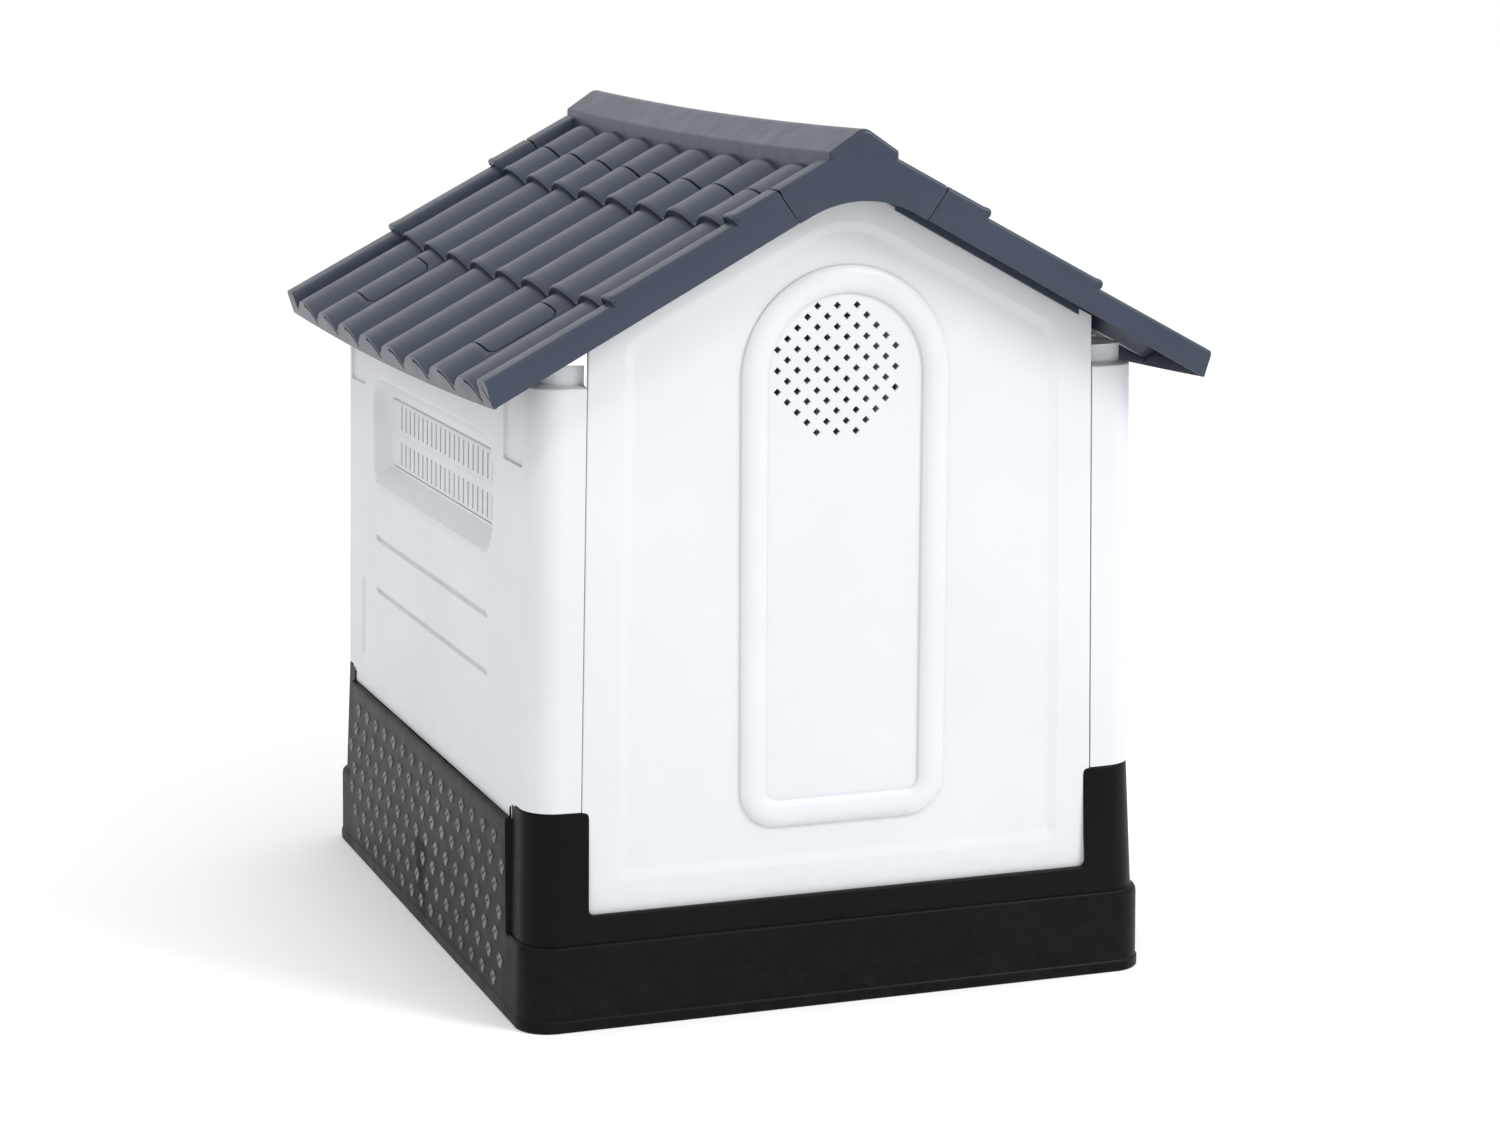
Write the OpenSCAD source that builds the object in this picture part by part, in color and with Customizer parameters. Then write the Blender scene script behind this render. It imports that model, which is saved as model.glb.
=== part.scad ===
// Flat-pack plastic dog kennel: base tray, four walls, two tiled roof panels,
// a ridge cap and four press latches. The doorway faces -Y, +X is the right side.

/* [Size] */
// Width of the base at the ground
base_w = 510; // [425:1:612]
// Length of the base at the ground
base_l = 608; // [506:1:730]
// Height to the top of the ridge
total_h = 662; // [552:1:795]

/* [Roof] */
// Reach of each eave past the base
eave_out = 30; // [24:1:40]
// Reach of each gable board past the base
gable_out = 20; // [14:1:28]
// Slope of the tile rows, in degrees
row_pitch = 27.9; // [24:0.1:30]
// Height of each row's step onto the next row
row_step = 6.5; // [4:0.1:8]
// Number of tiles side by side on a slope
tile_count = 8; // [4:1:10]
// Height of a tile's crest over its valley
tile_rise = 11; // [6:0.5:14]
// Width of the flat valley between two tiles
valley_w = 5; // [3:0.5:12]
// Width of the raised board along each gable
barge_w = 26; // [18:1:34]
// Skin thickness of the roof mouldings
roof_skin = 2.6; // [2.2:0.1:3.4]
// Half width of the ridge cap's raised box
cap_half = 27; // [22:1:34]
// Height of the ridge cap's box over the tiles
cap_up = 9; // [7:0.5:12]
// Half width of the ridge cap at its seam with the roof panels
ridge_half = 66; // [56:1:74]
// Run of the short second row, measured level
row_2_run = 35; // [28:1:45]
// Depth of the eave fascia, measured upright
eave_drop = 19; // [17:1:26]
// How far the foot of the fascia is set back
eave_lean = 6.2; // [3:0.1:9]

/* [Walls] */
// Setback of the side walls from the faces of the posts
side_set = 0.2; // [0:0.1:1]
// Setback of the end walls from the faces of the posts
end_set = 0.5; // [0.2:0.1:1.5]
// Inward lean of the side walls, in degrees
wall_lean = 1.15; // [0.4:0.05:1.5]
// Skin thickness of the wall mouldings
wall_skin = 2.6; // [2.2:0.1:3.4]
// Radius of the upright corners
corner_r = 24; // [18:1:30]
// Distance of a seam from the side wall's outer face
seam_in = 40.3; // [34:0.1:48]
// Width of the flange behind each seam
seam_flange = 15; // [10:1:22]
// Depth of the ledge, where the corners step in, below the side wall's top
ledge_down = 17.5; // [10:0.5:40]
// Depth of that step
neck_in = 8; // [5:0.5:9]
// Height of an end wall's border over its field
border_up = 2; // [1:0.5:3]
// Width of that border along its upright sides
border_w = 29.5; // [20:0.5:36]
// Upright width of that border along the gable
border_top = 27; // [20:1:34]
// Depth of the tall recesses beside the upper corners
pocket_in = 1.5; // [1:0.1:1.8]
// Height of those recesses below the ledge
pocket_h = 60; // [30:1:90]
// Distance from the end walls to the full face between those recesses
flat_in = 77; // [60:1:100]

/* [Window] */
// Distance of the window's ends from the end walls
window_in = 122; // [110:1:160]
// Height of the window
window_h = 84; // [76:1:96]
// Distance of the window's middle below the ledge
window_down = 97; // [80:1:130]
// Corner radius of the window
window_r = 26; // [16:1:36]
// Least distance from the last slot to the window's end
slot_margin = 19; // [12:1:40]
// Distance from slot to slot
slot_pitch = 14; // [8:0.5:20]
// Width of a slot
slot_w = 4; // [2.5:0.5:5]
// Height of a slot
slot_h = 20; // [12:1:24]
// Upright distance between the two slot rows
slot_row_gap = 31; // [26:1:38]
// Offset of the slots towards the rear
slot_shift = 9; // [0:1:14]

/* [Rear vent] */
// Half width of the arched bead
bead_half = 82; // [60:1:100]
// Height of the bead's lower edge over the notch in the base
bead_foot = 53; // [40:1:90]
// Distance of the bead's crown below the gable's peak
bead_down = 61.5; // [56:0.5:100]
// Width of the bead
bead_w = 20; // [12:1:26]
// Height of the bead over the field
bead_up = 5; // [3:0.5:7]
// Holes across the widest vent row
vent_cols = 7; // [5:2:7]
// Least distance from the vent to the bead
vent_margin = 7.4; // [5:0.1:20]
// Side of a square vent hole
vent_hole = 4.3; // [3:0.1:5]
// Sideways offset of the vent's middle
vent_shift = 7; // [-12:1:12]
// Height of the vent's middle over the centre of the bead's crown
vent_up = 5; // [-20:1:10]

/* [Doorway] */
// Width of the doorway
door_w = 240; // [180:5:270]
// Height of the doorway's sill over the notch in the base
sill_up = 26; // [14:1:44]
// Distance of the doorway's crown below the ledge
door_down = 26; // [20:1:90]
// Width of the raised rim around the doorway
rim_w = 18; // [12:1:24]

/* [Base] */
// Height of the lower band
band_h = 65; // [54:1:78]
// Height of the corner posts
post_h = 164; // [145:1:185]
// Drop of the side rims from the posts' tops
side_rim_down = 12; // [6:1:20]
// Height of the notches for the end walls over the band
notch_up = 21; // [14:1:30]
// Depth of the floor's top face below the band's top
floor_down = 13; // [8:1:20]
// Skin thickness of the base
base_skin = 3.2; // [2.6:0.1:4.2]
// Inset of the posts' tops from the ground outline, across
post_inset = 8; // [6:0.5:9]
// Inset of the posts' tops from the ground outline, front and rear
post_inset_end = 11.5; // [8:0.5:13]

/* [Latch] */
// Length of a latch along the slope
latch_l = 64; // [40:1:68]
// Width of a latch
latch_w = 59; // [40:1:62]
// Corner radius of a latch
latch_r = 8; // [3:0.5:12]
// Distance of a latch below the step above it
latch_down = 9; // [6:1:14]
// Gap around a latch
latch_gap = 0.6; // [0.4:0.1:1]
// Depth of a latch's legs under the tile
latch_leg = 20; // [14:1:24]
// Distance of the legs from the latch's upper end
leg_down = 22; // [14:1:30]

/* [Hidden] */
$fn = 96;

white = "whitesmoke";
slate = [0.36, 0.39, 0.45];
black = [0.11, 0.11, 0.11];

fit_gap = 0.3;      // between pieces that meet face to face
eps = 0.5;          // overrun of a cut past the face that it opens
bite = 1;           // how far joined solids run into each other
far = 1000;         // longer than any part of the kennel

// Roof heights. The surface heights are those of the gable boards.
roof_w = base_w + 2 * eave_out;
roof_l = base_l + 2 * gable_out;
roof_run = roof_w / 2;
step_1_x = ridge_half + row_2_run;
row_lap = 4;        // how far a row starts before the step above it
step_2_x = (step_1_x + roof_run) / 2;
tile_pitch = (roof_l - 2 * barge_w) / tile_count;
tile_w = tile_pitch - valley_w;
tile_r = (tile_w * tile_w / 4 + tile_rise * tile_rise) / (2 * tile_rise);
valley_n = -tile_rise - 1;
plate_n = valley_n - roof_skin;
plate_drop = -plate_n / cos(row_pitch);
function row_z(row, x) = total_h - cap_up - row_step * max(row - 2, 0) - x * tan(row_pitch);
eave_z = row_z(4, roof_run);
eave_foot_z = eave_z - eave_drop;
eave_foot_x = roof_run - eave_lean;
cap_seam_depth = 32;    // depth of the ridge cap's gable boards at the seam
seam_foot_x = ridge_half - cap_seam_depth / 2;
seam_foot_z = row_z(1, seam_foot_x) - cap_seam_depth;
arch_r = 86;
arch_rise = 15;         // height of the arch's crown over the feet of the seams
arch_top = seam_foot_z + arch_rise;
board_hang = 40;        // uncut depth of a gable board below its top
flange_n = plate_n - fit_gap;
flange_end_x = 22;      // distance of the flange's upper edge from the ridge
flange_lap = 8;         // how far the flange reaches under the roof panel

// Base levels
base_r = 26;
base_band_inset = 1.5;
base_step_in = 3;
notch_gap = 1.2;    // between an end wall's edge and its notch
side_draft = 1.15;  // inward lean of the side panels, in degrees
rib_w = 3;
rib_in = 2;         // how far the ribs stay clear of the ground and the outline
side_rim_h = post_h - side_rim_down;
notch_z = band_h + notch_up;
floor_z = band_h - floor_down;

// Walls
wall_half = base_w / 2 - post_inset - side_set;         // where they stand on the posts
end_face = base_l / 2 - post_inset_end - end_set;       // over the raised end faces
seam_half = wall_half - seam_in;
seam_lap = 6;       // how far the seam flange runs into the corner
lean_drop = (wall_half - seam_half + seam_flange) * sin(wall_lean);
wall_foot = floor_z + fit_gap;
side_foot = wall_foot + lean_drop;
wall_in = wall_half - wall_skin;
side_seat = side_rim_h + fit_gap;
post_seat = post_h + fit_gap + lean_drop;
post_l = 12;        // length of a post's straight face along the side
post_run = end_face - corner_r - post_l;
tongue_gap = 1.8;   // between the tongue of a side wall and the base
tongue_in = base_skin + tongue_gap;
roof_gap = 1;
side_top_x = wall_half - (row_z(4, wall_half) - post_h) * tan(wall_lean);
side_top = row_z(4, side_top_x) - plate_drop - roof_gap;
gable_peak = row_z(4, 0) - plate_drop - roof_gap;
end_back = end_face - border_up - wall_skin;
flange_face = end_back - fit_gap;
ledge_z = side_top - ledge_down;
pocket_z = ledge_z - pocket_h;
flat_half = end_face - flat_in;

// Window, vent and doorway
window_l = 2 * (end_face - window_in);
window_z = ledge_z - window_down;
window_lap = 8;     // how far the grille's flange reaches behind the wall
plate_in = 2;       // depth of the grille's face behind the wall's
slot_count = 2 * floor((window_l / 2 - slot_shift - slot_margin) / slot_pitch) + 1;
bead_low = notch_z + bead_foot;
bead_top = gable_peak - bead_down;
bead_r = 34;        // outer radius of the bead's lower corners
vent_pitch = (bead_half - bead_w - vent_margin) / vent_cols;
vent_z = bead_top - bead_half + vent_up;
door_sill = notch_z + sill_up;
door_top = ledge_z - door_down;
door_r = 14;
rim_up = 1;         // height of the doorway's rim over the border

// A rectangle centred on the origin with round corners
module round_rect(w, l, r) {
    square([w - 2 * r, l], center = true);
    square([w, l - 2 * r], center = true);
    for (sx = [-1, 1], sy = [-1, 1])
        translate([sx * (w / 2 - r), sy * (l / 2 - r)]) circle(r);
}

// An arch standing on z = low, with a half-round crown and round lower corners
module arch_shape(half, low, top, r) {
    translate([0, top - half]) circle(half);
    translate([-half, low + r]) square([2 * half, top - half - low - r]);
    translate([-half + r, low]) square([2 * (half - r), r + eps]);
    for (side = [-1, 1]) translate([side * (half - r), low + r]) circle(r);
}

// Turns a drawing in x and z into a slab that runs from y0 to y1
module slab_y(y0, y1) {
    translate([0, y1, 0]) rotate([90, 0, 0]) linear_extrude(y1 - y0) children();
}

// ---------------------------------------------------------------- roof

// Lays a profile drawn in y and height along the slope, from level x0 to x1
module along_slope(row, x0, x1) {
    translate([x0, 0, row_z(row, x0)]) rotate([0, row_pitch, 0]) rotate([90, 0, 90])
        linear_extrude((x1 - x0) / cos(row_pitch)) children();
}

function tile_y(i) = (i - (tile_count - 1) / 2) * tile_pitch;

module tile_bumps(skin_off) {
    for (i = [0 : tile_count - 1]) translate([tile_y(i), 0]) one_bump(skin_off);
}

// Segment of a circle standing on the valley plane, shrunk inwards by skin_off
module one_bump(skin_off) {
    intersection() {
        translate([0, valley_n + tile_rise - tile_r]) circle(tile_r - skin_off);
        translate([-tile_w / 2, valley_n - roof_skin - (skin_off > 0 ? eps : 0)])
            square([tile_w, tile_rise + roof_skin + bite]);
    }
}

module board_pair(inset, low, high) {
    for (side = [-1, 1]) translate([side * (roof_l / 2 - barge_w / 2), 0])
        translate([-barge_w / 2 + inset, low]) square([barge_w - 2 * inset, high - low]);
}

// Hollow section of a row: tiles, valleys and the two gable boards
module row_shell_profile() {
    difference() {
        union() {
            translate([-roof_l / 2, plate_n]) square([roof_l, roof_skin]);
            tile_bumps(0);
            board_pair(0, -board_hang, 0);
        }
        tile_bumps(roof_skin);
        board_pair(roof_skin, -board_hang - eps, -roof_skin);
    }
}

// Closed section of a row's lower end, deep enough to reach the next row
module row_end_profile() {
    translate([-roof_l / 2, plate_n - row_step]) square([roof_l, roof_skin + row_step]);
    tile_bumps(0);
    board_pair(0, plate_n - row_step, 0);
}

module tile_row(row, x0, x1) {
    end_run = roof_skin * cos(row_pitch);
    along_slope(row, x0, x1) row_shell_profile();
    along_slope(row, x1 - end_run, x1) row_end_profile();
}

// Everything above the roof's underside and inside its eave
module panel_region() {
    slab_y(-roof_l / 2, roof_l / 2) polygon([
        [seam_foot_x, seam_foot_z], [eave_foot_x, eave_foot_z], [roof_run, eave_z],
        [roof_run + row_step, total_h], [0, total_h], [0, seam_foot_z + 20]]);
}

latch_y = tile_y(tile_count - 2);
leg_w = 12;
leg_y = 12;

// Upright block with a latch's round-cornered outline, shrunk by inset
module latch_block(inset) {
    translate([step_2_x, latch_y, row_z(4, step_2_x)]) rotate([0, row_pitch, 0])
        translate([latch_down + latch_l / 2, 0, plate_n - roof_skin]) linear_extrude(-plate_n + 2 * roof_skin)
            round_rect(latch_l - 2 * inset, latch_w - 2 * inset, latch_r - inset);
}

// Height of a tile's outer face at a distance from its middle
function bump_n(y) = valley_n + tile_rise - tile_r + sqrt(tile_r * tile_r - y * y);

module roof_panel() {
    color(slate) {
        difference() {
            intersection() {
                union() {
                    tile_row(2, ridge_half + fit_gap, step_1_x);
                    tile_row(3, step_1_x - row_lap, step_2_x);
                    tile_row(4, step_2_x - row_lap, roof_run + row_step);
                    eave_fascia();
                }
                panel_region();
            }
            for (side = [0, 1]) mirror([0, side, 0]) latch_block(0);
        }
        ridge_flange();
    }
}

// Leaning face along the eave, topped by the ends of the tiles
module eave_fascia() {
    intersection() {
        slab_y(-roof_l / 2, roof_l / 2) polygon([
            [eave_foot_x, eave_foot_z], [roof_run, eave_z], [roof_run, eave_z + row_step],
            [roof_run - 2 * roof_skin, eave_z + row_step], [eave_foot_x - roof_skin, eave_foot_z]]);
        along_slope(4, roof_run - 4 * roof_skin, roof_run + row_step) row_end_profile();
    }
}

// Flange that carries the ridge cap
module ridge_flange() {
    flange_half = roof_l / 2 - barge_w - fit_gap;
    along_slope(1, flange_end_x, ridge_half + flange_lap)
        translate([-flange_half, flange_n - roof_skin]) square([2 * flange_half, roof_skin]);
    along_slope(1, ridge_half + 2 * fit_gap, ridge_half + flange_lap)
        translate([-flange_half, flange_n - roof_skin]) square([2 * flange_half, 2 * roof_skin]);
}

// Space under the ridge cap's gable boards, with a round crown
module ridge_arch() {
    side_x = ridge_half + cap_seam_depth;
    side_z = seam_foot_z - (side_x - ridge_half) * tan(row_pitch);
    tangent_x = arch_r * sin(row_pitch);
    tangent_z = arch_top - arch_r * (1 - cos(row_pitch));
    slab_y(-far / 2, far / 2) {
        polygon([[-side_x, side_z], [-seam_foot_x, seam_foot_z], [-tangent_x, tangent_z],
                 [tangent_x, tangent_z], [seam_foot_x, seam_foot_z], [side_x, side_z],
                 [side_x, seam_foot_z - arch_r], [-side_x, seam_foot_z - arch_r]]);
        translate([0, arch_top - arch_r]) circle(arch_r);
    }
}

module half_ridge() {
    intersection() {
        along_slope(1, -tile_rise, ridge_half) row_shell_profile();
        translate([0, -far / 2, 0]) cube([far, far, far]);
    }
}

cap_pitch = 31;     // slope of the box's top, in degrees
crown_half = 7;     // half width of the flattened crown
crown_drop = 1.2;   // fall from the ridge to the crown's edges
cap_foot = row_z(1, cap_half - roof_skin) - plate_drop;

// The raised box along the ridge
module cap_box(half_l, w, top, foot) {
    shoulder = top - w * tan(cap_pitch);
    slab_y(-half_l, half_l) polygon([[-w, foot], [-w, shoulder], [-crown_half, top - crown_drop], [0, top],
                                     [crown_half, top - crown_drop], [w, shoulder], [w, foot]]);
}

module ridge_cap() {
    color(slate) difference() {
        union() {
            half_ridge();
            mirror([1, 0, 0]) half_ridge();
            difference() {
                cap_box(roof_l / 2, cap_half, total_h, cap_foot);
                cap_box(roof_l / 2 - roof_skin, cap_half - roof_skin, total_h - roof_skin, cap_foot - eps);
            }
        }
        ridge_arch();
    }
}

module latch() {
    stop = latch_down + latch_l;
    leg_x = step_2_x + (latch_down + leg_down) * cos(row_pitch);
    leg_top = bump_n(leg_y + leg_w / 2) - roof_skin / 2;
    color(slate) {
        intersection() {
            along_slope(4, step_2_x, step_2_x + stop * cos(row_pitch)) translate([latch_y, 0]) difference() {
                one_bump(0);
                one_bump(roof_skin);
            }
            latch_block(latch_gap);
        }
        for (side = [-1, 1]) along_slope(4, leg_x, leg_x + roof_skin)
            translate([latch_y + side * leg_y - leg_w / 2, plate_n - latch_leg])
                square([leg_w, leg_top - plate_n + latch_leg]);
    }
}

// ---------------------------------------------------------------- walls

// Leans a right-hand wall inwards about the top of the posts
module lean() {
    translate([wall_half, 0, post_h]) rotate([0, -wall_lean, 0]) translate([-wall_half, 0, -post_h])
        children();
}

// Plan of the right wall between two insets from its outer face
module band(z0, z1, out_inset, in_inset) {
    translate([0, 0, z0]) linear_extrude(z1 - z0) intersection() {
        difference() {
            round_rect(2 * (wall_half - out_inset), 2 * (end_face - out_inset), corner_r - out_inset);
            round_rect(2 * (wall_half - in_inset), 2 * (end_face - in_inset), corner_r - in_inset);
        }
        translate([seam_half + fit_gap, -far / 2]) square([far, far]);
    }
}

// The stretch of the side between the posts
module between_posts() {
    intersection() {
        children();
        translate([0, -post_run + fit_gap, 0]) cube([far, 2 * (post_run - fit_gap), far]);
    }
}

// Flange behind the seam, which an end wall is laid on
module seam_flanges() {
    for (side = [0, 1]) mirror([0, side, 0]) {
        translate([seam_half - seam_flange, flange_face - wall_skin, side_foot])
            cube([seam_flange + seam_lap, wall_skin, ledge_z - side_foot]);
        translate([seam_half + fit_gap, flange_face - wall_skin, post_seat])
            cube([wall_skin, end_face - flange_face + wall_skin - eps, ledge_z - post_seat]);
    }
}

module window_outline(grow) {
    translate([0, window_z]) round_rect(window_l + 2 * grow, window_h + 2 * grow, window_r + grow);
}

// Turns a drawing in y and z into a slab that runs from x0 to x1
module slab_x(x0, x1) {
    translate([x0, 0, 0]) rotate([90, 0, 90]) linear_extrude(x1 - x0) children();
}

// Upper stretch of the flat side, which stays full where the corners step in
module upper_flat() {
    difference() {
        slab_x(wall_in - neck_in, wall_half)
            translate([-flat_half, ledge_z - wall_skin])
                square([2 * flat_half, side_top - ledge_z + wall_skin]);
        slab_x(wall_in - 2 * neck_in, wall_in)
            translate([-flat_half + wall_skin, ledge_z - 2 * wall_skin])
                square([2 * (flat_half - wall_skin), side_top - ledge_z + 2 * wall_skin + eps]);
    }
}

module side_wall() {
    color(white) lean() difference() {
        union() {
            band(post_seat, ledge_z, 0, wall_skin);
            between_posts() band(side_seat, post_seat + wall_skin, 0, wall_skin);
            between_posts() band(side_seat, side_seat + wall_skin, 0, tongue_in + wall_skin);
            band(post_seat, post_seat + wall_skin, 0, tongue_in + wall_skin);
            band(side_foot, post_seat + wall_skin, tongue_in, tongue_in + wall_skin);
            band(ledge_z - wall_skin, ledge_z, 0, neck_in + wall_skin);
            band(ledge_z - wall_skin, side_top, neck_in, neck_in + wall_skin);
            upper_flat();
            seam_flanges();
        }
        slab_x(wall_half - 2 * neck_in, wall_half + eps) window_outline(0);
        for (side = [0, 1]) mirror([0, side, 0]) slab_x(wall_half - pocket_in, wall_half + eps)
            translate([flat_half, pocket_z]) square([end_face - corner_r - flat_half, far]);
    }
}

module window_grille() {
    color(white) lean() {
        difference() {
            union() {
                slab_x(wall_in - fit_gap - wall_skin, wall_in - fit_gap) window_outline(window_lap);
                slab_x(wall_in - fit_gap - eps, wall_half - plate_in) window_outline(-fit_gap);
            }
            slab_x(wall_in - 2 * neck_in, wall_half) for (i = [0 : slot_count - 1], row = [-1, 1])
                translate([slot_shift + (i - (slot_count - 1) / 2) * slot_pitch - slot_w / 2,
                           window_z + row * slot_row_gap / 2 - slot_h / 2])
                    square([slot_w, slot_h]);
        }
    }
}

// Outline of an end wall, with its two long edges on the leaning seams
module end_outline(side_in, top_in, low) {
    peak = gable_peak - top_in;
    seam_at_post = seam_half - side_in;
    top_half = (seam_at_post - (peak - post_h) * tan(wall_lean)) / (1 - tan(row_pitch) * tan(wall_lean));
    low_half = seam_at_post - (low - post_h) * tan(wall_lean);
    polygon([[-low_half, low], [low_half, low], [top_half, peak - top_half * tan(row_pitch)],
             [0, peak], [-top_half, peak - top_half * tan(row_pitch)]]);
}

module end_wall_shell() {
    slab_y(end_back, end_face - border_up) end_outline(0, 0, wall_foot);
    slab_y(end_face - border_up - eps, end_face) difference() {
        end_outline(0, 0, wall_foot);
        end_outline(border_w, border_top, notch_z + border_top);
    }
}

// Columns of staggered square holes, shorter towards both sides
module vent_holes() {
    half = (vent_cols - 1) / 2;
    for (c = [-2 * half : 2 * half]) {
        a = abs(c);
        n = a <= half ? vent_cols - a % 2 : vent_cols - half % 2 - (a - half);
        for (k = [0 : n - 1])
            translate([vent_shift + c * vent_pitch, vent_z + (k - (n - 1) / 2) * 2 * vent_pitch])
                rotate(45) square(vent_hole, center = true);
    }
}

module rear_wall() {
    color(white) difference() {
        union() {
            end_wall_shell();
            slab_y(end_back + bite, end_face - border_up + bead_up) difference() {
                arch_shape(bead_half, bead_low, bead_top, bead_r);
                arch_shape(bead_half - bead_w, bead_low + bead_w, bead_top - bead_w, bead_r - bead_w);
            }
        }
        slab_y(end_back - eps, end_face) vent_holes();
    }
}

module front_wall() {
    color(white) mirror([0, 1, 0]) difference() {
        union() {
            end_wall_shell();
            slab_y(end_back + bite, end_face + rim_up)
                arch_shape(door_w / 2 + rim_w, door_sill - rim_w / 2, door_top + rim_w, door_r + rim_w / 2);
        }
        slab_y(end_back - eps, end_face + rim_up + eps) arch_shape(door_w / 2, door_sill, door_top, door_r);
    }
}

// ---------------------------------------------------------------- base

module base_slab(z, inset, inset_end, r) {
    translate([0, 0, z]) linear_extrude(0.01)
        round_rect(base_w - 2 * inset, base_l - 2 * inset_end, r);
}

// Tapered body of the base, shrunk by inset, from z_low to z_high
module base_solid(inset, z_low, z_high) {
    band_in = inset + base_band_inset;
    r = base_r - inset;
    hull() {
        base_slab(z_low, inset, inset, r);
        base_slab(band_h, band_in, band_in, r);
    }
    hull() {
        base_slab(band_h - bite, band_in + base_step_in, band_in + base_step_in, r);
        base_slab(z_high, inset + post_inset, inset + post_inset_end, r);
    }
}

// Patterned panel between two posts, flush with the band and proud of the posts
module side_panel() {
    rim_in = base_band_inset + (side_rim_h - band_h) * tan(side_draft);
    slab_y(-post_run, post_run) polygon([
        [base_w / 2 - base_skin, 0], [base_w / 2, 0],
        [base_w / 2 - rim_in, side_rim_h], [base_w / 2 - post_inset - base_skin, side_rim_h]]);
}

module base_tray() {
    notch_half = seam_half + notch_gap;
    color(black) {
        difference() {
            base_solid(0, 0, post_h);
            base_solid(base_skin, floor_z, post_h + eps);
            translate([0, 0, -eps]) linear_extrude(floor_z - base_skin + eps)
                round_rect(base_w - 2 * base_skin - 2 * base_band_inset,
                           base_l - 2 * base_skin - 2 * base_band_inset, base_r - base_skin);
            translate([-far / 2, -post_run, side_rim_h]) cube([far, 2 * post_run, far]);
            translate([-notch_half, -far / 2, notch_z]) cube([2 * notch_half, far, far]);
        }
        side_panel();
        mirror([1, 0, 0]) side_panel();
        underside_ribs();
    }
}

module underside_ribs() {
    rib_h = floor_z - base_skin / 2 - rib_in;
    for (k = [-1, 1]) translate([-base_w / 2 + rib_in, k * base_l / 6 - rib_w / 2, rib_in])
        cube([base_w - 2 * rib_in, rib_w, rib_h]);
    translate([-rib_w / 2, -base_l / 2 + rib_in, rib_in]) cube([rib_w, base_l - 2 * rib_in, rib_h]);
}

base_tray();
side_wall();  // right_wall
mirror([1, 0, 0]) side_wall();  // left_wall
rear_wall();
front_wall();
window_grille();  // right_window_grille
mirror([1, 0, 0]) window_grille();  // left_window_grille
roof_panel();  // right_roof_panel
mirror([1, 0, 0]) roof_panel();  // left_roof_panel
ridge_cap();
latch();  // right_rear_latch
mirror([0, 1, 0]) latch();  // right_front_latch
mirror([1, 0, 0]) latch();  // left_rear_latch
mirror([1, 0, 0]) mirror([0, 1, 0]) latch();  // left_front_latch
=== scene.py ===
"""Plastic dog kennel: moulded roof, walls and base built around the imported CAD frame."""

import math

import bmesh
import bpy
import numpy as np
from mathutils import Matrix, Vector, geometry


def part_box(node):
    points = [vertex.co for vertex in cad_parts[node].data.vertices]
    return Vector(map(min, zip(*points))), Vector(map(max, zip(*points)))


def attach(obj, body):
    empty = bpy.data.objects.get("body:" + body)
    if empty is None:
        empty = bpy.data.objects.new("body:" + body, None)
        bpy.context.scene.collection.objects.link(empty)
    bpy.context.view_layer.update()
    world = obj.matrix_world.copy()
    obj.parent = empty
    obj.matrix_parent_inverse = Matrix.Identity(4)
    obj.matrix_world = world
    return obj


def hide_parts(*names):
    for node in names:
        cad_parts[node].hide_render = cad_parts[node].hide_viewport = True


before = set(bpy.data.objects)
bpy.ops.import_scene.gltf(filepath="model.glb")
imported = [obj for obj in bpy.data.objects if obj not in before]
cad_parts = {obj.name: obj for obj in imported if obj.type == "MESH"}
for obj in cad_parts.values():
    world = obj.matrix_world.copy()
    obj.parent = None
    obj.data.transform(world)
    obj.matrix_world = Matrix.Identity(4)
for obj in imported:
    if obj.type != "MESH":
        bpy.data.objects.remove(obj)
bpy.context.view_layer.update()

MM = 0.001


def reach(node):
    """Highest corner of a CAD node, in millimetres."""
    return [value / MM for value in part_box(node)[1]]


# ---------------------------------------------------------------- sizes, in millimetres

# Roof
HALF_L = reach("ridge_cap")[1]
TOP = reach("ridge_cap")[2]
HALF_W = reach("right_roof_panel")[0]
PITCH = math.radians(27.9)
CAP_UP = 9.0
APEX = TOP - CAP_UP             # where the two slopes of the upper rows would meet
ROW_STEP = 6.5
TILES = 8
TILE_RISE = 11.0
VALLEY_W = 5.0
BARGE_W = 26.0
SKIN = 2.6
CAP_HALF = 27.0
SEAM_X = 66.0
STEP_1_X = 101.0
STEP_2_X = (STEP_1_X + HALF_W) / 2
EAVE_DROP = 19.0
EAVE_LEAN = 6.2
SEAM_GAP = 0.45                 # half of the dark joint between cap and panel
SAG_RIDGE = 4.0                 # drop of the ridge at mid-length
SAG_EAVE = 5.5                  # drop of the eave at mid-length
ARCH_R = 86.0
ARCH_RISE = 15.0
SEAM_DEPTH = 32.0
SKIRT_IN = 2.4                  # how far the inner skirt hangs below the gable board
SKIRT_X = (34.0, 184.0)

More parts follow.
